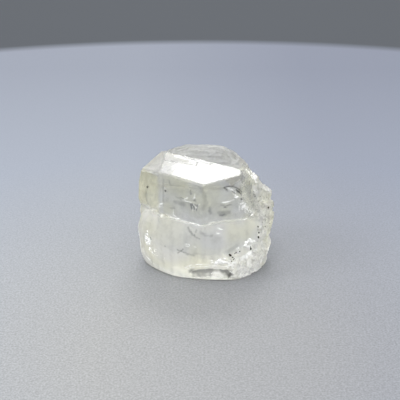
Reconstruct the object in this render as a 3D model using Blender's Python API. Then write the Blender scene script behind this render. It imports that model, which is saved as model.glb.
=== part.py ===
"""A clear topaz crystal: a faceted upper block grown over a rounded lower lobe, all one solid."""

import math
import random

import bmesh
import bpy
from mathutils import Matrix, Vector, noise
from mathutils.bvhtree import BVHTree

MM = 0.001

# Crystal faces of the block as (azimuth, elevation, distance from the foot of the axis), in degrees
# and millimetres. Azimuth 0 faces -Y and grows towards +X, so a prism face has elevation near 0.
TOP_FACE = (-13.5, 75.2, 21.89)
FRONT_LEFT_PRISM = (-29.0, 0.0, 7.84)
FRONT_LEFT_BEVEL = (-24.0, 48.0, 20.45)
FRONT_RIGHT_PRISM = (19.0, 0.0, 7.68)
LEFT_PRISM = (-48.0, -1.6, 8.74)
LEFT_END = (-91.0, 3.0, 14.15)
LEFT_UNDERCUT = (-82.0, -14.0, 10.1)
LEFT_SHOULDER = (-72.6, 61.7, 23.27)
LEFT_SHOULDER_BEVEL = (-58.0, 32.0, 19.42)
BACK_LEFT_SLOPE = (-131.0, 17.8, 15.41)
BACK_LEFT_PRISM = (-131.0, 0.0, 11.2)
BACK_END = (176.0, 6.0, 10.2)
RIGHT_PRISM = (60.0, 8.6, 11.34)
RIGHT_SLOPE = (84.0, 36.0, 18.2)
RIGHT_END = (88.0, -6.0, 12.6)
RIGHT_CORNER = (110.0, -8.0, 11.8)
RIGHT_BACK_SLOPE = (128.0, 16.0, 15.7)
RIGHT_BACK_PRISM = (131.0, 0.0, 12.6)
BLOCK_FOOT = 6.6

# The top face ends behind in a ridge; beyond it only the right shoulder rises, inside two more faces.
BEHIND_RIDGE = (153.0, 15.0, 4.85)
SHOULDER_BACK = (170.0, 45.0, 15.44)
SHOULDER_LEFT = (-110.0, 50.0, 11.12)

# Lower lobe, side by side: azimuth, then its distance from the axis at foot, belly and ledge.
LOBE_SIDES = (
    (-7, 7.3, 9.0, 9.4),
    (19, 9.0, 9.7, 7.95),
    (54, 10.3, 11.7, 9.8),
    (90, 12.0, 13.7, 13.2),
    (131, 10.4, 12.6, 12.5),
    (180, 9.4, 11.1, 10.9),
    (-131, 9.4, 11.8, 11.2),
    (-91, 12.7, 14.25, 12.75),
    (-50, 9.65, 11.6, 9.55),
    (-29, 8.8, 9.8, 8.15),
)
FOOT_ROUNDING, BELLY_ROUNDING, LEDGE_ROUNDING = 14, 10, 60
BELLY_HEIGHT = 5.4
LEDGE_HEIGHT = 12.15
COLUMNS = 72
RINGS = 15

# Knob on the ledge where the left prism faces meet: centre and radii.
KNOB_CENTRE = (-7.3, -2.9, 10.5)
KNOB_RADII = (2.3, 2.3, 2.5)

# Rounded back, and the growth layers that wrap it up to a tilted step:
# height of the step, thickness of the layer, tilt of the step and the azimuth it falls towards.
BACK_CENTRE = (-1.1, 4.4, 13.0)
BACK_RADII = (9.9, 6.5, 9.8)
BACK_LAYERS = (
    (21.3, 0.22, 6.0, 60.0),
    (20.2, 0.45, 7.0, 100.0),
    (18.6, 0.70, 9.0, 140.0),
    (16.0, 1.00, 12.0, 170.0),
)

# Shallow growth steps on the top face: front edge from X, Y to X, Y, then depth and width.
TOP_STEPS = (
    ((-9.6, 0.1), (-2.1, -2.3), 0.09, 1.9),
    ((-6.4, 1.7), (0.6, -2.4), 0.07, 1.6),
)

# Shell-shaped hollows broken out of the front of the foot: centre and radii.
HOLLOWS = (
    ((0.5, -9.23, 1.56), (4.9, 2.3, 1.5)),
    ((1.9, -9.3, 3.2), (3.6, 1.0, 0.5)),
    ((3.6, -9.1, 3.9), (3.2, 1.0, 0.45)),
)

# Angular flakes off the broken places: azimuths, heights, how many, sizes, depth.
FLAKES = {
    "right end": ((68, 112), (9.0, 16.5), 60, (0.7, 2.0), 0.36),
    "right slope": ((74, 120), (15.0, 19.5), 12, (0.8, 1.8), 0.22),
    "right shoulder": ((46, 66), (15.8, 20.0), 14, (0.4, 1.0), 0.20),
    "right waist": ((56, 84), (4.5, 9.8), 24, (0.4, 1.2), 0.25),
    "lower right break": ((28, 80), (1.6, 6.4), 40, (0.9, 2.4), 0.50),
    "foot": ((26, 84), (0.3, 2.4), 20, (0.5, 1.3), 0.35),
}
FLAKE_SEED = 7


def direction(azimuth, elevation=0.0):
    """Unit vector that looks outward at this azimuth and elevation."""
    around, up = math.radians(azimuth), math.radians(elevation)
    return Vector((math.sin(around) * math.cos(up), -math.cos(around) * math.cos(up), math.sin(up)))


def new_object(name, shape):
    """Turns a bmesh into a mesh object with its normals facing out."""
    bmesh.ops.recalc_face_normals(shape, faces=shape.faces)
    mesh = bpy.data.meshes.new(name)
    shape.to_mesh(mesh)
    shape.free()
    body = bpy.data.objects.new(name, mesh)
    bpy.context.collection.objects.link(body)
    return body


def combine(body, tool, operation, overlapping=False):
    """Joins a tool to the body or cuts it away, and keeps the result as plain mesh."""
    change = body.modifiers.new(tool.name, "BOOLEAN")
    change.object = tool
    change.operation = operation
    change.solver = "EXACT"
    change.use_self = overlapping
    shape = bmesh.new()
    shape.from_object(body, bpy.context.evaluated_depsgraph_get())
    body.modifiers.remove(change)
    shape.to_mesh(body.data)
    shape.free()
    bpy.data.objects.remove(tool)


def slice_off(shape, point, normal):
    """Cuts away everything beyond a plane and closes the cut with one flat face."""
    everything = shape.verts[:] + shape.edges[:] + shape.faces[:]
    cut = bmesh.ops.bisect_plane(
        shape, geom=everything, dist=1e-7, plane_co=point, plane_no=normal, clear_outer=True
    )
    rim = [part for part in cut["geom_cut"] if isinstance(part, bmesh.types.BMEdge)]
    if rim:
        bmesh.ops.contextual_create(shape, geom=rim)


def cut_from_cube(name, faces, keep=1):
    """What lies inside all of these crystal faces, or outside all of them if keep is -1."""
    shape = bmesh.new()
    bmesh.ops.create_cube(shape, size=70 * MM)
    for azimuth, elevation, distance in faces:
        outward = direction(azimuth, elevation)
        slice_off(shape, outward * distance * MM, outward * keep)
    return new_object(name, shape)


def faceted_block():
    """Upper block with the bright top face, its prism faces and both shoulders."""
    block = cut_from_cube("block", (
        TOP_FACE, FRONT_LEFT_PRISM, FRONT_LEFT_BEVEL, FRONT_RIGHT_PRISM, LEFT_PRISM, LEFT_END,
        LEFT_UNDERCUT, LEFT_SHOULDER, LEFT_SHOULDER_BEVEL, BACK_LEFT_SLOPE, BACK_LEFT_PRISM,
        BACK_END, RIGHT_PRISM, RIGHT_SLOPE, RIGHT_END, RIGHT_CORNER, RIGHT_BACK_SLOPE,
        RIGHT_BACK_PRISM, (0.0, -90.0, -BLOCK_FOOT),
    ))
    combine(block, cut_from_cube("gap_left", (BEHIND_RIDGE, SHOULDER_LEFT), -1), "DIFFERENCE")
    combine(block, cut_from_cube("gap_back", (BEHIND_RIDGE, SHOULDER_BACK), -1), "DIFFERENCE")
    return block


def pebble(centre, radii, power, detail, lumps, pitch):
    """A sphere squared off by a power and made uneven by smooth lumps."""
    shape = bmesh.new()
    bmesh.ops.create_icosphere(shape, subdivisions=detail, radius=1.0)
    for vertex in shape.verts:
        way = vertex.co.normalized()
        reach = sum(abs(part) ** power for part in way) ** (-1.0 / power)
        reach *= 1.0 + lumps * noise.noise(way * pitch + Vector(centre))
        vertex.co = Vector([(c + way[i] * reach * radii[i]) * MM for i, c in enumerate(centre)])
    return shape


def lobe_reach(azimuth, height):
    """Distance from the axis to the side of the lobe at this azimuth and height."""
    above_foot = min(height / BELLY_HEIGHT, 1.0)
    above_belly = max(height - BELLY_HEIGHT, 0.0) / (LEDGE_HEIGHT - BELLY_HEIGHT)
    swell = math.sqrt(1.0 - (1.0 - above_foot) ** 2)
    narrow = above_belly ** 2.1
    sharp = BELLY_ROUNDING + (LEDGE_ROUNDING - BELLY_ROUNDING) * narrow
    sharp += (FOOT_ROUNDING - BELLY_ROUNDING) * (1.0 - swell)
    total = 0.0
    for side, foot, belly, ledge in LOBE_SIDES:
        away = foot + (belly - foot) * swell + (ledge - belly) * narrow
        total += (max(math.cos(math.radians(azimuth - side)), 0.0) / away) ** sharp
    return total ** (-1.0 / sharp)


def ledge_height(azimuth):
    """The ledge runs nearly level: a little higher on the right, lower on the left end."""
    rise = 0.5 * math.exp(-(((azimuth + 76) / 9) ** 2))
    dip = 1.1 * math.exp(-(((azimuth + 98) / 14) ** 2))
    step = 0.3 if azimuth > 2 else 0.0
    return LEDGE_HEIGHT + rise - dip + step


def lower_lobe():
    """Lobe that the crystal stands on: prism-like at the ledge, rounded at the belly, flat at the foot."""
    shape = bmesh.new()
    rings = []
    for ring in range(RINGS):
        share = (ring / (RINGS - 1)) ** 1.25
        row = []
        for column in range(COLUMNS):
            azimuth = -180.0 + 360.0 * column / COLUMNS
            outward = direction(azimuth)
            height = share * ledge_height(azimuth)
            reach = lobe_reach(azimuth, share * LEDGE_HEIGHT)
            reach *= 1.0 + 0.008 * noise.noise(outward * 2.5 + Vector((0, 0, height / 3)))
            row.append(shape.verts.new((outward * reach + Vector((0, 0, height))) * MM))
        rings.append(row)
    for lower, upper in zip(rings, rings[1:]):
        for column in range(COLUMNS):
            after = (column + 1) % COLUMNS
            shape.faces.new((lower[column], lower[after], upper[after], upper[column]))
    shape.faces.new(rings[0])
    crown = shape.verts.new((0, 0, LEDGE_HEIGHT * MM))
    for column in range(COLUMNS):
        shape.faces.new((crown, rings[-1][column], rings[-1][(column + 1) % COLUMNS]))
    return new_object("lobe", shape)


def left_knob():
    """Small rounded knob on the ledge where the left prism faces meet."""
    return new_object("knob", pebble(KNOB_CENTRE, KNOB_RADII, 3.4, 3, 0.05, 2.0))


def rounded_back(layer):
    """The rounded back itself (layer -1), or one of the thin growth layers that wrap it."""
    grown = BACK_LAYERS[layer][1] if layer >= 0 else 0.0
    radii = [radius + grown for radius in BACK_RADII]
    shape = pebble(BACK_CENTRE, radii, 2.4, 4, 0.035, 2.6)
    if layer >= 0:
        height, _, tilt, towards = BACK_LAYERS[layer]
        point = Vector((BACK_CENTRE[0], BACK_CENTRE[1], height)) * MM
        slice_off(shape, point, direction(towards, 90.0 - tilt))
    slice_off(shape, Vector((0, 0, (6.5 - 0.23 * layer) * MM)), Vector((0, 0, -1)))
    return new_object(f"back_{layer}", shape)


def top_step(number):
    """Very shallow wedge off the top face: deepest along its front edge, running out behind."""
    start, end, depth, width = TOP_STEPS[number]
    outward = direction(*TOP_FACE[:2])
    corners = []
    for x, y in (start, end):
        z = (TOP_FACE[2] - outward.x * x - outward.y * y) / outward.z
        corners.append(Vector((x, y, z)))
    across = outward.cross(corners[1] - corners[0]).normalized()
    shape = bmesh.new()
    ends = []
    for point in corners:
        far = point + across * width
        outline = (point - outward * depth, point + outward * 0.5, far + outward * 0.5, far + outward * 0.04)
        ends.append([shape.verts.new(spot * MM) for spot in outline])
    for first, second in ((0, 1), (1, 2), (2, 3), (3, 0)):
        shape.faces.new((ends[0][first], ends[0][second], ends[1][second], ends[1][first]))
    shape.faces.new(ends[0])
    shape.faces.new(ends[1])
    return new_object(f"step_{number}", shape)


def hollow(number):
    """Shell-shaped hollow broken out of the front of the foot."""
    centre, radii = HOLLOWS[number]
    return new_object(f"hollow_{number}", pebble(centre, radii, 2.0, 3, 0.06, 2.0))


def flakes(body):
    """Many shallow angular flakes, sunk a little into the surface where the crystal is broken."""
    chance = random.Random(FLAKE_SEED)
    surface = BVHTree.FromObject(body, bpy.context.evaluated_depsgraph_get())
    shape = bmesh.new()
    for around, heights, count, sizes, depth in FLAKES.values():
        for _ in range(count):
            outward = direction(chance.uniform(*around))
            start = outward * 40 * MM + Vector((0, 0, chance.uniform(*heights) * MM))
            spot, normal, _, _ = surface.ray_cast(start, -outward)
            size = chance.uniform(*sizes)
            sunk = depth * chance.uniform(0.5, 1.4)
            lean = Vector([chance.uniform(-0.4, 0.4) for _ in range(3)])
            axis = (normal + lean).normalized()
            turn = axis.to_track_quat("Z", "Y").to_matrix().to_4x4()
            made = bmesh.ops.create_cone(
                shape, cap_ends=True, segments=chance.randint(4, 7), radius1=size * 0.8 * MM,
                radius2=size * 1.1 * MM, depth=3.0 * MM,
            )
            for vertex in made["verts"]:
                vertex.co.x *= chance.uniform(0.75, 1.25)
                vertex.co.y *= chance.uniform(0.75, 1.25)
            place = Matrix.Translation(spot + axis * (1.5 - sunk) * MM)
            bmesh.ops.transform(shape, matrix=place @ turn, verts=made["verts"])
    return new_object("flakes", shape)


def topaz_material():
    """Clear, faintly yellow topaz."""
    material = bpy.data.materials.new("clear_topaz")
    material.use_nodes = True
    shader = material.node_tree.nodes["Principled BSDF"]
    shader.inputs["Base Color"].default_value = (0.62, 0.63, 0.57, 1.0)
    shader.inputs["Roughness"].default_value = 0.08
    shader.inputs["Metallic"].default_value = 0.0
    return material


def stand_at_origin(body):
    """Moves the mesh so that the middle of its foot is the origin."""
    corners = [vertex.co for vertex in body.data.vertices]
    low = Vector([min(corner[i] for corner in corners) for i in range(3)])
    high = Vector([max(corner[i] for corner in corners) for i in range(3)])
    middle = (low + high) / 2
    body.data.transform(Matrix.Translation((-middle.x, -middle.y, -low.z)))
    print("moved by", [round(step / MM, 4) for step in (middle.x, middle.y, low.z)])


def crystal():
    """The whole crystal: lobe, block, knob and back joined, then stepped, hollowed and flaked."""
    body = lower_lobe()
    combine(body, faceted_block(), "UNION")
    combine(body, left_knob(), "UNION")
    for layer in range(-1, len(BACK_LAYERS)):
        combine(body, rounded_back(layer), "UNION")
    for number in range(len(TOP_STEPS)):
        combine(body, top_step(number), "DIFFERENCE")
    for number in range(len(HOLLOWS)):
        combine(body, hollow(number), "DIFFERENCE")
    combine(body, flakes(body), "DIFFERENCE", overlapping=True)
    body.name = "crystal"
    body.data.name = "crystal"
    body.data.materials.clear()
    body.data.materials.append(topaz_material())
    stand_at_origin(body)
    return body


for leftover in list(bpy.data.objects):
    bpy.data.objects.remove(leftover)
crystal()
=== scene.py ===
"""The looks of a clear, faintly yellow topaz crystal, on a pale floor in soft studio light."""

import math
import random

import bmesh
import bpy
import numpy as np
from mathutils import Matrix, Vector, noise
from mathutils.bvhtree import BVHTree


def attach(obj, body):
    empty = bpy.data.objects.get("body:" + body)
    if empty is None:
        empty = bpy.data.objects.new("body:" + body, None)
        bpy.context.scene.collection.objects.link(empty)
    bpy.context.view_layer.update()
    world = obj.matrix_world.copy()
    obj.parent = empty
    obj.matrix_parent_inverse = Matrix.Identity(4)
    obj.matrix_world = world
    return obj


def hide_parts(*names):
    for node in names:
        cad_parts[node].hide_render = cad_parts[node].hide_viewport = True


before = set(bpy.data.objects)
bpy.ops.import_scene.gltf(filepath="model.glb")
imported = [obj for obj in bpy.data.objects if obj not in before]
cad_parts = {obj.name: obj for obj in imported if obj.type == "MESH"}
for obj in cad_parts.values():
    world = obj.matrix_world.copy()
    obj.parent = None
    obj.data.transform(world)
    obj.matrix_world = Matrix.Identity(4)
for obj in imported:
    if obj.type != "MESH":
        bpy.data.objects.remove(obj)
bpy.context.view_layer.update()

# ---------------------------------------------------------------------------------------------
# The crystal: one piece of natural topaz, clear and nearly colourless. Its crystal faces grew
# smooth, with faint upright striations and small etched pits. Its right end and lower right corner
# are broken off and rough, and its rounded back is frosted by growth.
# ---------------------------------------------------------------------------------------------

MM = 0.001

# Lengths in millimetres. The edges of the clean faces are worn round, apart from short edges,
# flat ones, those of tiny faces and those in a break. After that the skin is cut into even cells.
EDGE_ROUNDING = 0.16
LEAST_RIDGE = 1.5
LEAST_RIDGE_ANGLE = 20.0  # degrees
LEAST_FACE = 1.2  # square millimetres
LEAST_BREAK = 0.3  # of a full break
CELL = 0.176

# The upper block leaves the lower, rounded lobe over these heights.
LEDGE_FOOT, LEDGE_TOP = 12.0, 12.6

# Depths of the relief in millimetres.
BLOCK_STRIATION, LOBE_STRIATION = 0.015, 0.05
ETCHING = 0.07
RUBBLE = 0.16
GROWTH_LAYERS, FINE_LAYERS = 0.22, 0.10
DOME_RIPPLES, DOME_GRAIN = 0.14, 0.05

# How rough the surface is, from 0 for a mirror to 1 for chalk: the faces of block and lobe, the
# table, and what a break, the frosted back, the dome and the ground foot add.
BLOCK_ROUGHNESS, LOBE_ROUGHNESS, TABLE_ROUGHNESS = 0.20, 0.28, 0.04
BREAK_ROUGHNESS, FROST_ROUGHNESS, DOME_ROUGHNESS, FOOT_ROUGHNESS = 0.15, 0.18, 0.3, 0.3

# The tone is 0 where the crystal looks dark grey and 1 where it looks pale.
BLOCK_TONE, LOBE_TONE, DOME_TONE, TABLE_TONE = 0.74, 0.94, 0.57, 0.40
# What ends, shoulders and breaks add to it, and how far the frosted back goes towards 1, which
# is less far over the heights in which the back bends over into the dome:
# The right shoulder's share is a painted reflection, which makes it pale.
LEFT_END_TONE, LEFT_SHOULDER_TONE, RIGHT_SHOULDER_REFLECTION = 0.2, -0.27, 0.4
RIGHT_BACK_TONE, BREAK_TONE, LOW_BREAK_TONE = -0.35, 0.10, -0.16
FROST_WHITENESS, LESS_WHITE_ABOVE, FROST_BEND = 0.9, 0.45, (17.5, 19.0)
# How much clouds, grain, painted bands, splinters, and the dome's painted streaks and grain change
# it:
CLOUD_CONTRAST, GRAIN_CONTRAST, LOBE_PAINTED_BANDS, SPLINTER_CONTRAST = 0.15, 0.12, 0.24, 0.9
DOME_PAINTED_STREAKS, DOME_GRAIN_CONTRAST = 0.5, 0.25
MEAN_SPLINTER = 0.22

# Each part below has its azimuths in degrees, and then its heights in millimetres, as the start,
# the full strength, where that ends, and the end. The breaks:
RIGHT_END = (58, 66, 121, 127), (8.6, 9.6, 17.0, 19.0)
WAIST = (52, 58, 84, 90), (4.2, 5.0, 9.5, 10.5)
CORNER = (24, 30, 80, 88)
# The shoulder that a painted reflection makes white, and the clear patch behind it, above the broken
# right end:
RIGHT_SHOULDER = (60, 70, 90, 100), (15.5, 17.5)
RIGHT_BACK = (88, 98, 122, 140), (16.5, 18.0)
# The dome, as its heights, where it is along X, and where it starts along Y:
DOME_HEIGHTS, DOME_WIDTH, DOME_FRONT = (19.2, 20.0), (-9.0, -7.5, 6.0, 7.5), (-3.0, -1.5)

# Hollow places at both ends: azimuths as above, then how deep they are at which heights.
RIGHT_HOLLOW = (58, 78, 96, 120)
RIGHT_HOLLOW_HEIGHTS = (0.0, 0.6, 1.3, 2.2, 2.9, 4.0, 4.4, 5.2, 6.4, 8.0, 9.2, 10.2)
RIGHT_HOLLOW_DEPTHS = (0.0, 0.3, 0.65, 0.65, 0.5, 0.24, 0.34, 0.80, 0.6, 0.5, 0.3, 0.0)
LEFT_HOLLOW = (-120, -96, -82, -66)
LEFT_HOLLOW_HEIGHTS = (6.0, 8.5, 10.5, 11.7, 12.4, 13.4)
LEFT_HOLLOW_DEPTHS = (0.0, 0.2, 0.2, 0.5, 0.35, 0.0)

# Marks with a smaller half width than this, in millimetres, are torn along their length.
TORN_BELOW = 0.6

# Etched and cloudy marks on the faces, with painted light among them: change of tone, half width
# in millimetres, and the azimuth and height of the points of a line through the middle.
MARKS_AND_PAINTED_LIGHT = (
    # ledge: a painted highlight along its worn edge
    (0.15, 0.18, ((-49.6, 12.4), (-43.9, 12.4), (-35.9, 12.4), (-25.7, 12.2), (-17.7, 12.2),
                  (-9.9, 12.1), (-2.5, 12.1))),
    (0.25, 0.18, ((2.2, 12.5), (11.4, 12.6), (20.0, 12.6), (30.4, 12.4), (39.8, 12.4))),
    # left end face
    (-0.54, 0.40, ((-80.4, 15.5), (-81.1, 14.6), (-79.9, 13.2))),
    (-0.41, 0.30, ((-78.1, 17.0), (-78.3, 16.4))),
    (0.36, 0.25, ((-57.9, 20.4), (-57.1, 17.6), (-57.8, 15.4))),
    (-0.34, 0.22, ((-54.9, 19.8), (-55.1, 16.6), (-55.7, 14.3))),
    (0.54, 0.30, ((-65.9, 13.9), (-58.9, 14.5))),
    # front left
    (-0.47, 0.30, ((-47.5, 19.8), (-46.3, 18.9))),
    (-0.61, 0.25, ((-19.5, 18.7), (-18.9, 18.1))),
    (-0.61, 0.23, ((-39.0, 16.8), (-33.1, 16.7))),
    (0.60, 0.22, ((-31.7, 17.0), (-23.7, 17.0))),
    (0.60, 0.20, ((-13.7, 18.5), (-15.4, 17.5))),
    (0.42, 0.20, ((-27.7, 16.6), (-14.7, 16.5))),
    (-0.61, 0.25, ((-15.6, 17.0), (-13.1, 17.2))),
    (-0.28, 0.60, ((-40.7, 15.7), (-29.1, 15.7))),
    (-0.74, 0.20, ((-18.5, 15.8), (-17.2, 15.0))),
    (-0.74, 0.20, ((-15.9, 15.8), (-15.0, 15.0))),
    (-0.74, 0.20, ((-10.5, 16.2), (-12.2, 15.0))),
    (0.48, 0.19, ((-14.0, 16.0), (-12.5, 15.4))),
    (0.48, 0.19, ((-8.1, 16.5), (-10.6, 15.5))),
    (0.42, 0.19, ((-16.4, 15.2), (-16.3, 14.6))),
    (-0.47, 0.30, ((-46.7, 14.2), (-41.5, 14.3))),
    (0.54, 0.20, ((-43.1, 14.0), (-43.2, 12.9))),
    (-0.22, 0.60, ((-7.3, 20.1), (-2.6, 18.2), (-1.0, 16.7), (-3.7, 15.6))),
    (0.12, 0.60, ((-3.2, 20.1), (1.2, 18.2), (3.0, 16.7))),
    (-0.70, 0.22, ((-19.5, 16.0), (-18.4, 15.0))),
    (-0.70, 0.22, ((-13.2, 16.2), (-10.7, 15.7))),
    (-0.80, 0.22, ((-17.6, 16.1), (-14.2, 15.3))),
    (-0.14, 1.60, ((-28.0, 15.9), (-12.0, 15.6))),
    (0.10, 1.50, ((8.0, 18.0), (20.0, 17.4))),
    # front right
    (-0.12, 1.20, ((16.0, 14.0), (27.0, 13.9))),
    (-0.68, 0.23, ((20.6, 19.4), (26.9, 19.5), (33.9, 19.2), (39.0, 18.6), (42.7, 17.9))),
    (-1.15, 0.24, ((35.4, 18.6), (42.2, 17.4))),
    (-0.81, 0.24, ((20.9, 19.3), (24.6, 18.6))),
    (-0.81, 0.24, ((30.9, 18.5), (33.7, 18.0))),
    (0.54, 0.30, ((29.9, 19.0), (35.2, 18.6))),
    (0.66, 0.35, ((32.5, 17.8), (39.7, 17.0))),
    (-0.74, 0.23, ((41.5, 16.6), (42.1, 16.4))),
    (0.60, 0.26, ((21.7, 16.2), (27.7, 16.3), (33.2, 16.6))),
    (-0.47, 0.21, ((16.8, 15.9), (22.3, 15.5), (30.1, 15.6))),
    (-0.61, 0.22, ((20.9, 15.3), (24.7, 15.2))),
    (-0.45, 0.55, ((15.3, 14.3), (27.3, 14.1))),
    (-0.61, 0.30, ((15.9, 13.8), (23.5, 13.6))),
    (-0.54, 0.45, ((3.1, 15.6), (4.2, 14.5))),
    (0.48, 0.19, ((39.4, 15.1), (39.5, 14.0))),
    (0.48, 0.23, ((46.6, 15.0), (49.6, 14.2))),
    (0.48, 0.23, ((52.4, 13.9), (56.8, 13.1))),
    (-0.20, 0.50, ((46.1, 19.7), (53.5, 17.6))),
    # right
    (-0.40, 2.20, ((60.0, 17.4), (68.0, 14.6))),
    (-0.30, 0.80, ((67.0, 13.2), (82.7, 12.2))),
    (-0.47, 0.40, ((71.2, 12.2), (74.5, 12.0))),
    (-0.30, 0.70, ((51.5, 12.2), (64.3, 11.2), (78.8, 10.3))),
    # lobe middle
    (-0.68, 0.30, ((-21.2, 11.3), (-15.8, 10.4), (-10.7, 9.8))),
    (-0.74, 0.20, ((-10.2, 9.8), (-7.0, 9.6))),
    (-0.61, 0.25, ((-11.0, 11.3), (-12.9, 10.3))),
    (0.48, 0.22, ((-18.4, 11.6), (-14.2, 10.9), (-11.3, 10.4))),
    (-0.47, 0.35, ((-7.1, 11.1), (0.2, 10.3), (5.4, 10.3))),
    (0.42, 0.22, ((11.6, 11.4), (17.5, 10.9))),
    (0.42, 0.23, ((10.2, 10.6), (14.0, 10.6))),
    (0.50, 0.24, ((-23.2, 8.0), (-18.0, 8.0))),
    (0.50, 0.20, ((-14.8, 7.9), (-11.0, 7.8))),
    (-0.81, 0.22, ((-32.5, 6.6), (-26.0, 6.2))),
    (-0.81, 0.22, ((-32.3, 5.8), (-25.8, 6.9))),
    (-0.54, 0.40, ((-24.9, 6.1), (-15.0, 5.7))),
    (-0.81, 0.20, ((-46.5, 6.7), (-45.4, 6.7))),
    (-0.81, 0.20, ((-60.3, 4.3), (-59.0, 4.4))),
    (-0.74, 0.22, ((-63.3, 7.4), (-63.0, 7.0))),
    (0.40, 0.50, ((-58.2, 5.3), (-61.3, 1.4))),
    (0.35, 0.90, ((-66.0, 7.6), (-68.0, 5.6))),
    (-0.60, 0.25, ((-63.0, 7.4), (-62.2, 7.1))),
    (-0.20, 0.90, ((-12.8, 5.9), (5.6, 5.5))),
    (-0.20, 0.60, ((21.7, 6.5), (30.3, 7.7))),
    # hollow in the foot: painted shade in the recess
    (-0.75, 0.90, ((-17.5, 2.1), (-8.4, 2.0), (3.5, 1.9))),
    (-0.72, 0.80, ((3.1, 2.0), (14.4, 2.0), (21.6, 2.2))),
    (-0.85, 0.80, ((20.0, 2.1), (25.3, 1.9), (27.0, 1.3))),
    (-0.75, 0.90, ((-14.0, 1.3), (-8.3, 1.2), (3.1, 1.1))),
    (-0.60, 0.70, ((20.0, 1.5), (25.0, 1.2))),
)


def smooth_step(low, high, values):
    """0 at low and below, 1 at high and above, smooth between; low may be the larger one."""
    share = np.clip((values - low) / (high - low), 0.0, 1.0)
    return share * share * (3.0 - 2.0 * share)


def window(rising, falling, bounds):
    """1 between the middle two bounds, 0 outside the outer two; each side has its own values."""
    start, full, fade, end = bounds
    return smooth_step(start, full, rising) * smooth_step(end, fade, falling)


def lumps(points, *fineness):
    """Smooth noise between -1 and 1 at each point; fineness in lumps per millimetre each way."""
    return np.array([noise.noise(Vector(point)) for point in points * np.array(fineness)])


def azimuth(points):
    """Direction of each point seen from above, in degrees: 0 is -Y, 90 is +X."""
    return np.degrees(np.arctan2(points[:, 0], -points[:, 1]))


def corner_top(around):
    """Height of the upper edge of the broken corner, which rises towards the right."""
    return 2.4 + 0.105 * (around - CORNER[0])


def brokenness(points):
    """How broken the surface is at each point in millimetres: 0 on crystal faces, 1 on breaks."""
    around, height = azimuth(points), points[:, 2]
    wobble = 5.0 * lumps(points, 0.45, 0.45, 0.45) + 3.0 * lumps(points, 1.3, 1.3, 1.3)
    wavy_around, wavy_height = around - wobble, height + 0.12 * wobble
    right_end = window(wavy_around, around, RIGHT_END[0]) * window(height, wavy_height, RIGHT_END[1])
    waist = window(wavy_around, around, WAIST[0]) * window(height, height, WAIST[1])
    top = corner_top(around)
    corner = window(wavy_around, around, CORNER) * smooth_step(top + 0.6, top, wavy_height)
    return np.maximum(np.maximum(right_end, waist), corner)


def frosting(points):
    """How frosted the surface is: 1 on the rounded back, 0 in front."""
    return smooth_step(104, 118, np.abs(azimuth(points))) * smooth_step(-2.0, 0.5, points[:, 1])


def nearness(points, line, half_width):
    """1 on a line over the faces, 0 from its half width on."""
    around, reach = azimuth(points), np.hypot(points[:, 0], points[:, 1])
    nearest = np.full(len(points), 1e9)
    for start, end in zip(line, line[1:]):
        turn = np.radians((around - start[0] + 180) % 360 - 180) * reach
        rise = points[:, 2] - start[1]
        along = np.radians(end[0] - start[0]) * reach
        up = end[1] - start[1]
        share = np.clip((turn * along + rise * up) / (along * along + up * up), 0.0, 1.0)
        nearest = np.minimum(nearest, np.hypot(turn - share * along, rise - share * up))
    return smooth_step(half_width, 0.3 * half_width, nearest)


def marking(points, ragged):
    """Sum of the marks' tones at each point, painted light included. Thin marks are torn, and all
    have ragged borders.
    """
    total = np.zeros(len(points))
    for tone, half_width, line in MARKS_AND_PAINTED_LIGHT:
        torn = 0.8 + 3.0 * ragged[:, 0] if half_width < TORN_BELOW else 1.0
        raggedness = 0.35 if half_width > 0.5 else min(half_width / 0.4, 1.0)
        total += tone * nearness(points + raggedness * ragged, line, half_width) * torn
    return total


def middles(edges):
    """Middle of each edge in millimetres."""
    return np.array([(edge.verts[0].co + edge.verts[1].co) / 2 / MM for edge in edges])


skin = bmesh.new()
skin.from_mesh(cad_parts["crystal"].data)
bmesh.ops.remove_doubles(skin, verts=skin.verts, dist=1e-7)
bmesh.ops.dissolve_limit(skin, angle_limit=math.radians(0.1), verts=skin.verts, edges=skin.edges)
ridges = []
for edge, broken in zip(skin.edges, brokenness(middles(skin.edges))):
    smallest = min(face.calc_area() for face in edge.link_faces) / MM ** 2
    sharp = edge.is_convex and edge.calc_face_angle(0.0) > math.radians(LEAST_RIDGE_ANGLE)
    long = edge.calc_length() > LEAST_RIDGE * MM
    if sharp and long and smallest > LEAST_FACE and broken < LEAST_BREAK:
        ridges.append(edge)
bmesh.ops.bevel(
    skin, geom=ridges, offset=EDGE_ROUNDING * MM, offset_type="OFFSET", affect="EDGES", segments=3,
    profile=0.5, material=-1, clamp_overlap=True, loop_slide=False
)
table = max((face for face in skin.faces if face.normal.z > 0.8), key=lambda face: face.calc_area())
table_normal, table_point = np.array(table.normal), np.array(table.verts[0].co) / MM
worn_faces = BVHTree.FromBMesh(skin)

# The worn solid gets even cells, and each corner of a cell goes back onto the worn faces.
crystal_mesh = bpy.data.meshes.new("topaz_crystal")
skin.to_mesh(crystal_mesh)
crystal = bpy.data.objects.new("topaz_crystal", crystal_mesh)
bpy.context.collection.objects.link(crystal)
even_cells = crystal.modifiers.new("even_cells", "REMESH")
even_cells.mode, even_cells.voxel_size = "VOXEL", CELL * MM
evaluated = crystal.evaluated_get(bpy.context.evaluated_depsgraph_get())
skin.clear()
skin.from_mesh(evaluated.to_mesh())
evaluated.to_mesh_clear()
crystal.modifiers.remove(even_cells)
for vertex in skin.verts:
    vertex.co = worn_faces.find_nearest(vertex.co)[0]
skin.normal_update()

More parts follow.
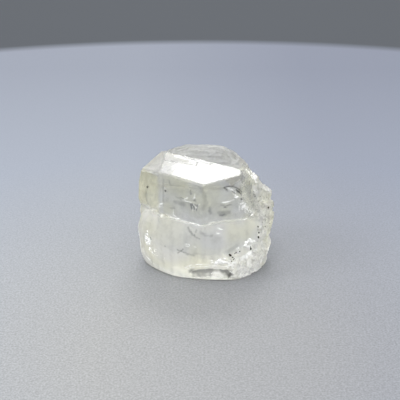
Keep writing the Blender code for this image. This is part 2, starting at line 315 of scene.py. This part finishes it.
# Where each part of the crystal is, as a share from 0 to 1 at each vertex.
places = np.array([vertex.co / MM for vertex in skin.verts])
normals = np.array([vertex.normal for vertex in skin.verts])
along_x, along_y, height = places.T
around = azimuth(places)
broken, frosted = brokenness(places), frosting(places)
lobe = smooth_step(LEDGE_TOP, LEDGE_FOOT, height)
table_share = smooth_step(0.25, 0.12, np.abs((places - table_point) @ table_normal))
table_share *= smooth_step(0.985, 0.996, normals @ table_normal) * smooth_step(17.0, 18.0, height)
dome = smooth_step(*DOME_HEIGHTS, height) * (1 - table_share)
dome *= window(along_x, along_x, DOME_WIDTH) * smooth_step(*DOME_FRONT, along_y)
upright_face = smooth_step(0.3, 1.5, height) * smooth_step(0.75, 0.4, np.abs(normals[:, 2]))
left_end = smooth_step(-58, -66, around)
left_shoulder = left_end * smooth_step(19.5, 20.3, height)
# Where the right shoulder gets its painted reflection:
right_shoulder_reflection = window(around, around, RIGHT_SHOULDER[0]) * smooth_step(*RIGHT_SHOULDER[1], height)
right_back = window(around, around, RIGHT_BACK[0]) * smooth_step(*RIGHT_BACK[1], height)

# The patterns that relief and tone share, and the marks.
fine, coarse = lumps(places, 2.3, 2.3, 2.3), lumps(places, 0.8, 0.8, 0.8)
splinters = np.abs(lumps(places, 2.6, 2.6, 2.6))
# Striation on the lobe is also painted as bands of refracted light, and the dome's ripples as
# streaks of reflection.
striation_and_painted_bands, ripples_and_painted_streaks = lumps(places, 1.1, 1.1, 0.13), lumps(places, 0.22, 1.6, 1.6)
ragged = 0.22 * np.stack([fine, coarse, lumps(places, 1.7, 1.7, 1.9)], axis=1)
# The marks' tone holds painted light too: a highlight on the ledge and shade in the foot's hollow.
marks = marking(places, ragged)

# Relief: striation, etched marks away from the ledge, rubble, growth layers, and the dome.
striation = BLOCK_STRIATION + (LOBE_STRIATION - BLOCK_STRIATION) * lobe
layers = GROWTH_LAYERS * lumps(places, 0.35, 0.35, 0.9) + FINE_LAYERS * lumps(places, 0.9, 0.9, 2.2)
ledge_line = MARKS_AND_PAINTED_LIGHT[0][2] + MARKS_AND_PAINTED_LIGHT[1][2]
depth = striation * upright_face * striation_and_painted_bands
depth += ETCHING * np.abs(marks) * (1 - nearness(places, ledge_line, 0.4))
depth += RUBBLE * broken * (np.abs(coarse) + 0.5 * splinters)
depth += frosted * (1 - table_share) * layers
depth += dome * (DOME_RIPPLES * ripples_and_painted_streaks + DOME_GRAIN * fine)
depth *= smooth_step(0.0, 0.4, height)
hollow = np.interp(height, RIGHT_HOLLOW_HEIGHTS, RIGHT_HOLLOW_DEPTHS)
hollow *= window(around, around, RIGHT_HOLLOW)
left_hollow = np.interp(height, LEFT_HOLLOW_HEIGHTS, LEFT_HOLLOW_DEPTHS)
hollow -= left_hollow * window(around, around, LEFT_HOLLOW)
for vertex, sunk, inward in zip(skin.verts, depth, hollow):
    vertex.co -= (vertex.normal * sunk + Vector((inward, 0.0, 0.0))) * MM
for face in skin.faces:
    face.smooth = True
surface = BVHTree.FromBMesh(skin)
skin.to_mesh(crystal_mesh)
skin.free()

roughness = BLOCK_ROUGHNESS + (LOBE_ROUGHNESS - BLOCK_ROUGHNESS) * lobe
roughness += (TABLE_ROUGHNESS - BLOCK_ROUGHNESS) * table_share + BREAK_ROUGHNESS * broken
roughness += FROST_ROUGHNESS * frosted + DOME_ROUGHNESS * dome
roughness += FOOT_ROUGHNESS * smooth_step(0.15, 0.05, height)

# Tone: faces first, then marks and breaks, and last the frosted back, the dome and the table.
tone = BLOCK_TONE + LEFT_END_TONE * left_end + RIGHT_SHOULDER_REFLECTION * right_shoulder_reflection
tone += LEFT_SHOULDER_TONE * left_shoulder + BREAK_TONE * broken
tone += (LOBE_TONE - tone) * lobe + CLOUD_CONTRAST * coarse + GRAIN_CONTRAST * fine
# Painted light: bands of refracted light on the lobe, and the marks' painted highlight and shade.
tone += LOBE_PAINTED_BANDS * lobe * striation_and_painted_bands + marks
tone += broken * (SPLINTER_CONTRAST * (splinters - MEAN_SPLINTER) + LOW_BREAK_TONE * lobe)
whiteness = FROST_WHITENESS - LESS_WHITE_ABOVE * smooth_step(*FROST_BEND, height)
tone += (1.0 - tone) * frosted * whiteness + RIGHT_BACK_TONE * right_back
# Painted streaks of reflection on the dome.
tone += dome * (DOME_TONE + DOME_PAINTED_STREAKS * ripples_and_painted_streaks + DOME_GRAIN_CONTRAST * fine - tone)
tone += (TABLE_TONE - tone) * table_share

# The left end of the block is yellower than the rest, and the dome and the foot are whiter.
warm = left_end * smooth_step(12.0, 13.0, height) * smooth_step(20.4, 19.8, height)
cool = np.maximum(0.8 * dome, 0.5 * smooth_step(3.5, 0.8, height))
looks = {"roughness": roughness, "tone": np.clip(tone, 0.0, 1.0), "warm": warm, "cool": cool}
for name, values in looks.items():
    crystal_mesh.attributes.new(name, "FLOAT", "POINT").data.foreach_set("value", values)


def linear(code):
    """An sRGB hex colour such as "d8dccf" as linear red, green, blue and alpha."""
    parts = [int(code[i:i + 2], 16) / 255 for i in (0, 2, 4)]
    return [p / 12.92 if p <= 0.04045 else ((p + 0.055) / 1.055) ** 2.4 for p in parts] + [1.0]


def new_material(name):
    """An empty material with only its output node."""
    material = bpy.data.materials.new(name)
    material.use_nodes = True
    for node in list(material.node_tree.nodes):
        if node.type != "OUTPUT_MATERIAL":
            material.node_tree.nodes.remove(node)
    return material


def add(material, kind, settings=(), **links):
    """Adds one node to a material: its settings by name, and links from other nodes' sockets."""
    node = material.node_tree.nodes.new("ShaderNode" + kind)
    for name, value in dict(settings).items():
        if name in node.bl_rna.properties:
            setattr(node, name, value)
        else:
            node.inputs[name].default_value = value
    for name, socket in links.items():
        material.node_tree.links.new(socket, node.inputs[name.replace("_", " ")])
    return node


def output(material, name, socket):
    """Links a shader to the material's output."""
    material.node_tree.links.new(socket, material.node_tree.nodes["Material Output"].inputs[name])


# Natural topaz: hard and clear, with a glassy lustre. Light bends strongly in it, so the faces
# show what lies behind as grey and white shapes. A trace of yellow shows where it is thick, and
# etched marks look greyer or milkier than the clear faces around them.
topaz = new_material("clear_topaz")
place = add(topaz, "TexCoord").outputs["Object"]
rough = add(topaz, "Attribute", {"attribute_name": "roughness"}).outputs["Fac"]
# The tone holds painted light as well as clouds and marks: the ledge's highlight, shade in the
# foot's hollow, the right shoulder's reflection, bands on the lobe and streaks on the dome.
cloud = add(topaz, "Attribute", {"attribute_name": "tone"}).outputs["Fac"]
grain = add(topaz, "TexNoise", {"Scale": 1500.0, "Detail": 4.0}, Vector=place).outputs["Fac"]
relief = add(topaz, "Bump", {"Distance": 0.1 * MM}, Height=grain, Strength=rough).outputs["Normal"]
drift = add(topaz, "TexNoise", {"Scale": 160.0, "Detail": 1.0}, Vector=place).outputs["Fac"]
drift = add(topaz, "MapRange", {"From Min": 0.38, "From Max": 0.62}, Value=drift).outputs["Result"]
pale = add(topaz, "MixRGB", {"Color1": linear("fffeed"), "Color2": linear("fcfcfd")}, Fac=drift)
warm = add(topaz, "Attribute", {"attribute_name": "warm"}).outputs["Fac"]
pale = add(topaz, "MixRGB", {"Color2": linear("fdfbe2")}, Color1=pale.outputs["Color"], Fac=warm)
cool = add(topaz, "Attribute", {"attribute_name": "cool"}).outputs["Fac"]
pale = add(topaz, "MixRGB", {"Color2": linear("f2f5ff")}, Color1=pale.outputs["Color"], Fac=cool)
tint = add(topaz, "MixRGB", {"Color1": linear("6c6d70")}, Color2=pale.outputs["Color"], Fac=cloud)
shader = add(topaz, "BsdfPrincipled", {"IOR": 1.62, "Transmission Weight": 0.82},
             Base_Color=tint.outputs["Color"], Roughness=rough, Normal=relief)
absorb = add(topaz, "VolumeAbsorption", {"Color": linear("fdfbe9"), "Density": 24.0})
output(topaz, "Surface", shader.outputs["BSDF"])
output(topaz, "Volume", absorb.outputs["Volume"])
crystal_mesh.materials.clear()
crystal_mesh.materials.append(topaz)

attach(crystal, "root")
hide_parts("crystal")

# ---------------------------------------------------------------------------------------------
# White bruises and painted glints: crushed crystal along the worn edges and in the breaks, white
# like ground glass, and white slivers that stand for glints of light. Each is a row of small
# flattened slivers that lie half sunk in the surface.
# ---------------------------------------------------------------------------------------------

SPACING = 0.25  # one sliver for this length of a row, in millimetres
MORE_IN_SPREAD = 3.5  # a row with a spread of 1 has this many times as many on top
SHARE_MISSING = 0.25  # of the slivers, so that a row has gaps
SPREAD_AROUND, SPREAD_UP = 4.5, 0.8  # degrees and millimetres, for a spread of 1
SLIVER_WIDTHS = (0.8, 2.8)  # least and most, in half widths of the row
SLIVER_LENGTHS = (0.15, 0.5)  # least and most in millimetres, beyond the width of the row
SLIVER_THICKNESS = 0.8  # of its width
UNEVENNESS = 0.7  # how much the slivers depart from plain ovals
STANDING_OUT = 0.2  # how far a sliver's middle is above the surface, in thicknesses
OUTSIDE = 40.0  # a distance from the middle that is well outside the crystal, in millimetres

# Loose slivers lie in the broken corner, up to this azimuth, and in the broken right end.
LOOSE_SLIVERS = 90
LOOSE_AROUND, CORNER_END = (26, 80), 58
LOOSE_LENGTHS, LOOSE_WIDTHS = (0.3, 1.0), (0.1, 0.34)
LOOSE_THICKNESS = 0.6  # of its width

# Half width and spread in millimetres, then the azimuth and height of the points of each row.
BRUISES_AND_GLINTS = (
    # worn ledge, whose white rows also paint its highlight
    (0.05, 0.10, ((-49.2, 12.4), (-43.6, 12.4), (-39.1, 12.3))),
    (0.10, 0.10, ((-38.8, 12.4), (-34.7, 12.4))),
    (0.04, 0.08, ((-34.7, 12.3), (-21.7, 12.3), (-15.1, 12.3))),
    (0.05, 0.06, ((-15.1, 12.3), (-9.9, 12.2), (-2.5, 12.1))),
    (0.05, 0.04, ((2.2, 12.5), (7.3, 12.7), (11.8, 12.7))),
    (0.08, 0.04, ((11.0, 12.7), (13.0, 12.7))),
    (0.04, 0.05, ((13.0, 12.7), (19.0, 12.6), (28.6, 12.5))),
    (0.05, 0.08, ((-43.3, 13.0), (-35.8, 12.4))),
    # wisps and etched strokes on the upper faces
    (0.07, 0.08, ((-27.6, 16.8), (-22.9, 17.2))),
    (0.10, 0.06, ((-24.8, 17.0), (-22.9, 17.2))),
    (0.09, 0.06, ((-16.8, 17.3), (-14.6, 17.6), (-11.8, 17.6))),
    (0.05, 0.06, ((-15.0, 17.8), (-13.7, 18.4))),
    (0.04, 0.06, ((-30.9, 16.5), (-24.3, 16.4), (-16.9, 16.4))),
    (0.05, 0.02, ((-15.4, 16.1), (-11.7, 15.5))),
    (0.05, 0.02, ((-8.3, 16.5), (-12.5, 15.4))),
    (0.05, 0.02, ((-16.8, 15.5), (-16.8, 14.7))),
    (0.05, 0.02, ((-13.7, 15.3), (-13.6, 14.8))),
    (0.05, 0.08, ((15.9, 16.5), (21.7, 16.2), (28.2, 16.4), (33.1, 16.8))),
    (0.08, 0.05, ((20.6, 16.3), (25.9, 16.4))),
    (0.06, 0.15, ((25.0, 18.6), (27.6, 19.1), (31.5, 18.5))),
    (0.06, 0.15, ((29.4, 18.9), (35.0, 18.0))),
    (0.09, 0.15, ((33.0, 17.8), (36.1, 17.2), (39.4, 16.9))),
    (0.05, 0.20, ((42.3, 15.3), (44.4, 14.6), (48.9, 14.2))),
    (0.06, 0.20, ((48.6, 14.2), (56.2, 13.0), (67.4, 12.1))),
    (0.10, 0.10, ((53.2, 12.6), (65.5, 11.9))),
    (0.06, 0.15, ((42.0, 12.5), (42.6, 12.2), (46.3, 12.4))),
    (0.04, 0.02, ((-2.7, 13.7), (0.2, 13.6))),
    (0.04, 0.02, ((-2.9, 13.3), (0.7, 13.2))),
    # scars, scratches, the broken corner with its bands of splinters, and the rims, with painted
    #     # light: the right shoulder's reflection and a glint in the hollow of the foot
    (0.13, 0.06, ((-60.5, 14.4), (-57.8, 14.7))),
    (0.06, 0.15, ((-54.0, 18.3), (-52.0, 18.2))),
    (0.06, 0.08, ((-31.5, 19.6), (-30.0, 19.6))),
    (0.12, 0.06, ((35.6, 17.3), (37.3, 17.1))),
    (0.20, 0.25, ((74.0, 19.2), (80.0, 18.2))),
    (0.16, 0.22, ((83.5, 19.6), (84.8, 18.8), (85.4, 17.8))),
    (0.12, 0.20, ((70.8, 20.3), (71.2, 19.6), (71.5, 18.9))),
    (0.05, 0.03, ((-42.8, 14.0), (-43.6, 12.7))),
    (0.07, 0.08, ((11.3, 11.6), (14.6, 11.2), (17.9, 11.0))),
    (0.07, 0.06, ((9.8, 10.7), (14.2, 10.5))),
    (0.04, 0.20, ((-78.4, 11.7), (-70.5, 12.8), (-59.6, 14.0), (-55.9, 14.9))),
    (0.13, 0.35, ((-65.4, 8.1), (-67.0, 6.9), (-69.8, 5.5))),
    (0.14, 0.30, ((-65.9, 7.0), (-66.4, 5.6))),
    (0.10, 0.35, ((-64.9, 6.9), (-63.0, 5.9))),
    (0.04, 0.35, ((-64.4, 5.5), (-60.1, 5.3), (-56.4, 5.3))),
    (0.05, 0.30, ((-63.5, 4.2), (-59.1, 4.1))),
    (0.05, 0.08, ((-47.1, 4.3), (-47.2, 3.8))),
    (0.06, 0.35, ((-66.0, 4.8), (-58.0, 3.6))),
    (0.10, 0.08, ((-23.2, 8.1), (-18.9, 8.2))),
    (0.09, 0.08, ((-22.2, 7.6), (-17.8, 7.9))),
    (0.08, 0.08, ((-14.6, 7.9), (-11.4, 7.8))),
    (0.06, 0.03, ((-17.4, 3.7), (-2.9, 4.0), (10.3, 3.8))),
    (0.07, 0.03, ((-18.6, 3.1), (-4.0, 3.5), (10.4, 3.3))),
    (0.08, 0.06, ((-17.4, 3.6), (-24.3, 2.9), (-18.7, 2.5))),
    (0.10, 0.03, ((-22.2, 0.6), (-10.3, 0.6), (2.9, 0.6))),
    (0.16, 0.05, ((6.3, 1.1), (13.0, 0.9), (20.3, 0.8))),
    (0.13, 0.05, ((8.0, 0.9), (14.0, 0.75), (19.0, 0.7))),
    (0.08, 0.06, ((24.5, 2.7), (25.8, 2.1), (28.5, 1.3))),
    (0.16, 0.25, ((5.6, 4.5), (10.9, 4.9), (16.1, 5.0))),
    (0.16, 0.25, ((6.9, 3.8), (13.0, 4.5), (20.3, 4.7))),
    (0.16, 0.25, ((15.6, 3.6), (20.3, 4.4), (25.7, 4.4))),
    (0.18, 0.15, ((21.5, 3.3), (27.1, 3.5), (32.8, 3.9))),
    (0.22, 0.15, ((37.1, 3.9), (42.7, 4.6), (48.3, 5.3))),
    (0.18, 0.20, ((38.0, 4.4), (43.5, 5.0), (49.3, 5.7))),
    (0.18, 0.12, ((36.9, 4.3), (42.6, 4.5), (47.5, 5.3))),
    (0.14, 0.25, ((23.4, 4.1), (28.4, 3.3), (32.9, 3.8))),
    (0.14, 0.20, ((40.7, 8.3), (45.4, 7.7), (51.9, 6.8), (55.0, 6.7))),
    (0.14, 0.20, ((39.0, 7.4), (45.7, 6.7))),
    (0.20, 0.20, ((38.7, 7.3), (40.6, 7.9), (43.7, 8.2))),
    (0.18, 0.25, ((42.7, 6.2), (46.5, 6.7), (51.9, 6.6))),
    (0.15, 0.25, ((40.7, 8.3), (44.8, 8.2), (52.0, 7.3))),
    (0.14, 0.20, ((30.3, 7.3), (35.1, 5.5), (37.0, 6.6), (41.2, 6.8))),
    (0.08, 0.10, ((52.0, 7.3), (63.4, 6.2), (78.5, 4.8))),
    (0.09, 0.12, ((38.0, 3.5), (39.7, 2.3), (38.5, 1.5))),
    (0.09, 0.08, ((78.7, 4.6), (78.2, 3.9), (76.4, 2.2))),
    (0.09, 0.10, ((76.4, 2.2), (67.4, 0.9), (56.1, 0.3))),
    (0.10, 0.15, ((30.8, 0.3), (34.4, 1.0), (38.7, 1.4))),
    (0.10, 0.15, ((34.8, 0.3), (40.9, 0.4), (42.3, 1.4))),
    (0.08, 0.15, ((41.8, 0.3), (47.2, 0.5), (57.8, 0.3))),
    (0.06, 0.30, ((44.9, 2.0), (45.4, 3.4), (46.6, 4.4))),
    (0.06, 0.30, ((53.2, 1.4), (50.2, 3.2), (56.2, 4.0))),
    (0.05, 0.20, ((59.0, 6.5), (63.7, 4.9), (71.1, 2.5))),
    (0.14, 0.15, ((66.5, 17.9), (77.7, 16.4))),
    (0.10, 0.25, ((71.1, 19.3), (74.2, 18.5), (75.6, 17.5))),
    (0.06, 0.40, ((43.5, 15.6), (46.6, 14.9), (51.1, 13.6))),
    (0.06, 0.40, ((40.1, 16.4), (43.5, 15.2), (46.7, 13.7))),
    (0.14, 0.12, ((56.5, 12.5), (64.6, 11.7))),
    (0.12, 0.12, ((90.8, 15.4), (93.5, 14.7), (97.1, 13.7))),
    (0.07, 0.35, ((87.0, 13.8), (93.5, 12.6), (87.5, 12.3))),
    (0.04, 0.02, ((39.5, 15.1), (39.6, 14.1))),
    (0.05, 0.04, ((-82.6, 19.7), (-73.6, 20.2), (-61.7, 20.6))),
    (0.04, 0.25, ((-80.4, 8.7), (-83.0, 6.7), (-80.0, 4.5), (-76.3, 3.2), (-69.4, 2.3))),
    (0.04, 0.25, ((-69.4, 2.3), (-61.3, 1.4), (-50.4, 1.0), (-36.4, 0.6), (-22.3, 0.5))),
)

chance = random.Random(13)


def on_surface(around, height):
    """The outermost point of the crystal in a direction and at a height, and its normal."""
    outward = Vector((math.sin(math.radians(around)), -math.cos(math.radians(around)), 0.0))
    far_out = outward * OUTSIDE * MM + Vector((0, 0, height * MM))
    spot, normal, _, _ = surface.ray_cast(far_out, -outward)
    return spot, normal


def stretches(line):
    """Each stretch of a line over the faces: both ends, and the way from one to the other."""
    for start, end in zip(line, line[1:]):
        yield start, end, on_surface(*end)[0] - on_surface(*start)[0]


def any_way(least_up):
    """A random way to point, with its upward part from least_up to 1."""
    return Vector((chance.uniform(-1, 1), chance.uniform(-1, 1), chance.uniform(least_up, 1)))


def sliver(shape, around, height, ahead, size, steps):
    """One uneven lump on the surface: its place, way, length, width and thickness, and fineness."""
    spot, normal = on_surface(around, height)
    made = bmesh.ops.create_icosphere(shape, subdivisions=steps, radius=0.5 * MM)
    for vertex in made["verts"]:
        unevenness = noise.noise(vertex.co / MM * 2.5 + Vector((around, height, 0)))
        vertex.co *= 1.0 + UNEVENNESS * unevenness
    across = normal.cross(ahead).normalized()
    turn = Matrix((across.cross(normal), across, normal)).transposed().to_4x4()
    move = Matrix.Translation(spot + normal * STANDING_OUT * size[2] * MM)
    put = move @ turn @ Matrix.Diagonal((*size, 1.0))
    bmesh.ops.transform(shape, matrix=put, verts=made["verts"])


bruise_and_glint_skin = bmesh.new()
for half_width, spread, line in BRUISES_AND_GLINTS:
    for start, end, way in stretches(line):
        count = max(1, round(way.length / MM / SPACING * (1 + MORE_IN_SPREAD * spread)))
        for step in range(count):
            if chance.random() < SHARE_MISSING:
                continue
            share = (step + chance.uniform(0.0, 1.0)) / count
            around = start[0] + share * (end[0] - start[0])
            around += chance.gauss(0, SPREAD_AROUND) * spread
            height = start[1] + share * (end[1] - start[1]) + chance.gauss(0, SPREAD_UP) * spread
            width = half_width * chance.uniform(*SLIVER_WIDTHS)
            length = chance.uniform(*SLIVER_LENGTHS) + 2.0 * half_width
            size = (length, width, SLIVER_THICKNESS * width)
            ahead = way.normalized() + any_way(-1) * (0.25 + 1.5 * spread)
            sliver(bruise_and_glint_skin, around, max(height, 0.2), ahead, size, 1)
for _ in range(LOOSE_SLIVERS):
    around = chance.uniform(*LOOSE_AROUND)
    in_corner = around < CORNER_END
    height = chance.uniform(0.6, corner_top(around)) if in_corner else chance.uniform(1.0, 16.0)
    ahead, width = any_way(-0.6), chance.uniform(*LOOSE_WIDTHS)
    size = (chance.uniform(*LOOSE_LENGTHS), width, LOOSE_THICKNESS * width)
    sliver(bruise_and_glint_skin, around, height, ahead, size, 1)
bruise_and_glint_mesh = bpy.data.meshes.new("white_bruises_and_glints")
bruise_and_glint_skin.to_mesh(bruise_and_glint_mesh)
bruise_and_glint_skin.free()
bruises_and_glints = bpy.data.objects.new("white_bruises_and_glints", bruise_and_glint_mesh)
bpy.context.collection.objects.link(bruises_and_glints)

# Crushed topaz: white, because its many tiny cracks scatter all light, with a soft sheen. The same
# white slivers also stand for painted glints.
crushed_and_glint = new_material("crushed_topaz_and_glints")
shader = add(crushed_and_glint, "BsdfPrincipled", {"Base Color": linear("fcfcfa"), "Roughness": 0.18})
output(crushed_and_glint, "Surface", shader.outputs["BSDF"])
bruise_and_glint_mesh.materials.append(crushed_and_glint)
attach(bruises_and_glints, "root")

# ---------------------------------------------------------------------------------------------
# Dark grains: specks of brown-black, iron-stained mineral. They sit in the pits of the breaks and
# in the faces, and in thin seams where they fill a healed crack.
# ---------------------------------------------------------------------------------------------

# Grains scattered in the broken right end, with their least and most azimuth, height and size.
SCATTERED_GRAINS = 16
SCATTER = (62, 95), (8.5, 16.0), (0.1, 0.18)

SEAM_SPACING = 0.3  # one grain for this length of a seam, in millimetres
SEAM_GRAIN = 0.5  # length of a grain in a seam, in millimetres

# Azimuth and height of each grain, then its size in millimetres.
GRAINS = (
    (25.9, 5.61, 0.42), (28.4, 5.04, 0.24), (31.0, 5.75, 0.16), (32.1, 5.91, 0.18),
    (33.2, 6.10, 0.15), (34.7, 6.29, 0.22), (30.2, 4.64, 0.20), (29.6, 4.45, 0.15),
    (27.5, 4.19, 0.18), (49.0, 5.94, 0.32), (49.8, 6.25, 0.18), (56.5, 10.3, 0.24),
    (57.0, 9.6, 0.18), (58.0, 8.86, 0.22), (54.7, 8.28, 0.34), (84.2, 11.8, 0.26),
    (-78.0, 16.82, 0.30), (-52.5, 17.61, 0.24), (73.3, 8.8, 0.20), (22.3, 15.3, 0.14),
    (20.9, 19.3, 0.16), (42.0, 16.5, 0.16),
)

# Dark seams of the fan under the table's right edge: half width, then a line as above.
SEAMS = (
    (0.035, ((20.6, 19.4), (23.9, 19.0), (25.4, 18.6))),
    (0.030, ((21.4, 19.4), (26.9, 19.6), (33.0, 19.3))),
    (0.030, ((33.9, 19.2), (39.0, 18.6), (42.7, 17.9))),
    (0.045, ((35.0, 18.7), (38.4, 18.1), (41.8, 17.5))),
    (0.035, ((30.4, 18.6), (33.9, 17.9))),
    (0.030, ((24.5, 15.7), (29.5, 15.7))),
    (0.030, ((-33.5, 17.1), (-27.0, 16.7))),
    (0.035, ((-15.5, 16.9), (-12.0, 16.9))),
)

grain_skin = bmesh.new()
scattered = tuple(tuple(chance.uniform(*bounds) for bounds in SCATTER)
                  for _ in range(SCATTERED_GRAINS))
for around, height, size in GRAINS + scattered:
    sliver(grain_skin, around, height, any_way(-0.6), (1.5 * size, 1.1 * size, size), 2)
for half_width, line in SEAMS:
    for start, end, way in stretches(line):
        count = max(1, round(way.length / MM / SEAM_SPACING))
        for step in range(count):
            share = (step + chance.uniform(0.2, 0.8)) / count
            around = start[0] + share * (end[0] - start[0])
            height = start[1] + share * (end[1] - start[1]) + chance.gauss(0, 0.02)
            width = half_width * chance.uniform(1.0, 3.0)
            sliver(grain_skin, around, height, way, (SEAM_GRAIN, width, 0.6 * width), 1)
for face in grain_skin.faces:
    face.smooth = True
grain_mesh = bpy.data.meshes.new("dark_grains")
grain_skin.to_mesh(grain_mesh)
grain_skin.free()
grains = bpy.data.objects.new("dark_grains", grain_mesh)
bpy.context.collection.objects.link(grains)

# Iron-stained grains: nearly black, with a brown tint and a dull surface.
stain = new_material("iron_stained_grain")
place = add(stain, "TexCoord").outputs["Object"]
cloud = add(stain, "TexNoise", {"Scale": 3000.0, "Detail": 3.0}, Vector=place).outputs["Fac"]
tone = add(stain, "MixRGB", {"Color1": linear("14120e"), "Color2": linear("3a3125")}, Fac=cloud)
shader = add(stain, "BsdfPrincipled", {"Roughness": 0.7}, Base_Color=tone.outputs["Color"])
output(stain, "Surface", shader.outputs["BSDF"])
grain_mesh.materials.append(stain)
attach(grains, "root")

# ---------------------------------------------------------------------------------------------
# Floor, light and camera. A pale blue-grey card that runs into a darker backdrop far behind. Painted
# shade makes it a little darker to the right and towards the back.
# ---------------------------------------------------------------------------------------------

# Lengths in millimetres.
AIR_GAP = 0.05  # the foot touches the card only on its high points
FLOOR_HALF_SIDE = 2000.0
TABLE_TOP_END = 148.0  # where the pale, round table top ends behind the crystal
TABLE_TOP_RADIUS = 242.0
TABLE_TOP_EDGE = 3.0  # half the width over which it turns into the backdrop
# The patch in front is painted less blue, for the light that comes through the crystal.
FRONT_PLACE = (0.0, -35.0, 0.0)  # middle of the patch in front that is less blue

# The camera looks down at the crystal from the front.
LENS, SENSOR = 100.0, 36.0
CAMERA_PLACE = (-1.285, -197.434, 104.96)
LOOKING_DOWN = 25.0  # degrees

ROOM_BRIGHTNESS = 1.32  # of plain white

floor_skin = bmesh.new()
bmesh.ops.create_grid(floor_skin, x_segments=1, y_segments=1, size=FLOOR_HALF_SIDE * MM)
bmesh.ops.translate(floor_skin, verts=floor_skin.verts, vec=(0, 0, -AIR_GAP * MM))
floor_mesh = bpy.data.meshes.new("floor")
floor_skin.to_mesh(floor_mesh)
floor_skin.free()
floor = bpy.data.objects.new("floor", floor_mesh)
bpy.context.collection.objects.link(floor)

# Matt card: smooth and dull, with a fine grain that shows only near the crystal, where it is
# sharp to the eye.
card = new_material("matt_card")
place = add(card, "TexCoord").outputs["Object"]
apart = add(card, "SeparateXYZ", Vector=place).outputs
right = add(card, "MapRange", {"From Min": -20 * MM, "From Max": 30 * MM}, Value=apart["X"])
back = add(card, "MapRange", {"From Min": 0.0, "From Max": 120 * MM}, Value=apart["Y"])
front = add(card, "VectorMath", {"operation": "DISTANCE"}, Vector=place)
front.inputs[1].default_value = Vector(FRONT_PLACE) * MM
front = add(card, "MapRange", {"From Min": 90 * MM, "From Max": 20 * MM},
            Value=front.outputs["Value"])
reach = add(card, "VectorMath", {"operation": "DISTANCE"}, Vector=place)
reach.inputs[1].default_value = (0, (TABLE_TOP_END - TABLE_TOP_RADIUS) * MM, 0)
far = add(card, "MapRange", {"From Min": (TABLE_TOP_RADIUS - TABLE_TOP_EDGE) * MM,
                             "From Max": (TABLE_TOP_RADIUS + TABLE_TOP_EDGE) * MM},
          Value=reach.outputs["Value"])
# Painted tint of the light through the crystal: the card in front of it is less blue.
tone = add(card, "MixRGB", {"Color1": linear("848a94"), "Color2": linear("8a8b8b")},
           Fac=front.outputs["Result"])
# Painted shade: the card gets darker to the right and towards the back.
tone = add(card, "MixRGB", {"blend_type": "MULTIPLY", "Color2": linear("e7e8ee")},
           Color1=tone.outputs["Color"], Fac=right.outputs["Result"])
tone = add(card, "MixRGB", {"blend_type": "MULTIPLY", "Color2": linear("dcdce1")},
           Color1=tone.outputs["Color"], Fac=back.outputs["Result"])
fibre = add(card, "TexNoise", {"Scale": 2800.0, "Detail": 3.0}, Vector=place)
speck = add(card, "MapRange", {"From Min": 0.3, "From Max": 0.7, "To Min": 0.8, "To Max": 1.2},
            Value=fibre.outputs["Fac"])
near = add(card, "MapRange", {"From Min": 60 * MM, "From Max": -20 * MM, "To Min": 0.2},
           Value=apart["Y"])
tone = add(card, "MixRGB", {"blend_type": "MULTIPLY"}, Color1=tone.outputs["Color"],
           Color2=speck.outputs["Result"], Fac=near.outputs["Result"])
tone = add(card, "MixRGB", {"Color2": linear("32373e")}, Color1=tone.outputs["Color"],
           Fac=far.outputs["Result"])
paint = add(card, "BsdfPrincipled", {"Roughness": 0.8}, Base_Color=tone.outputs["Color"])
output(card, "Surface", paint.outputs["BSDF"])
floor_mesh.materials.append(card)


def softbox(name, place, aim, size, power, colour):
    """A rectangular studio light: place, aim and size in millimetres, power in milliwatts."""
    light = bpy.data.lights.new(name, "AREA")
    light.shape = "RECTANGLE"
    light.size, light.size_y = size[0] * MM, size[1] * MM
    light.energy = power * MM
    light.color = linear(colour)[:3]
    box = bpy.data.objects.new(name, light)
    box.location = Vector(place) * MM
    box.rotation_euler = (Vector(aim) - Vector(place)).to_track_quat("-Z", "Y").to_euler()
    bpy.context.collection.objects.link(box)


softbox("key", (28, 262, 352), (0, 0, 10), (150, 140), 560, "ffffff")
softbox("key_edge", (-60, 262, 352), (-40, 0, 10), (26, 140), 48, "ffffff")
softbox("overhead", (-60, -120, 420), (0, 0, 10), (120, 120), 400, "ffffff")
softbox("side", (330, -80, 110), (0, 0, 8), (120, 120), 130, "ffffff")
softbox("window", (-340, -90, 300), (0, 0, 10), (130, 130), 560, "f4f8ff")

# The room around is a plain, even white.
world = bpy.data.worlds.new("room")
world.use_nodes = True
world.node_tree.nodes["Background"].inputs["Color"].default_value = linear("ffffff")
world.node_tree.nodes["Background"].inputs["Strength"].default_value = ROOM_BRIGHTNESS
bpy.context.scene.world = world
bpy.context.scene.view_settings.view_transform = "Standard"

camera_data = bpy.data.cameras.new("camera")
camera_data.lens = LENS
camera_data.sensor_width = SENSOR
camera = bpy.data.objects.new("camera", camera_data)
camera.location = Vector(CAMERA_PLACE) * MM
camera.rotation_euler = (math.radians(90.0 - LOOKING_DOWN), 0.0, 0.0)
bpy.context.collection.objects.link(camera)
bpy.context.scene.camera = camera
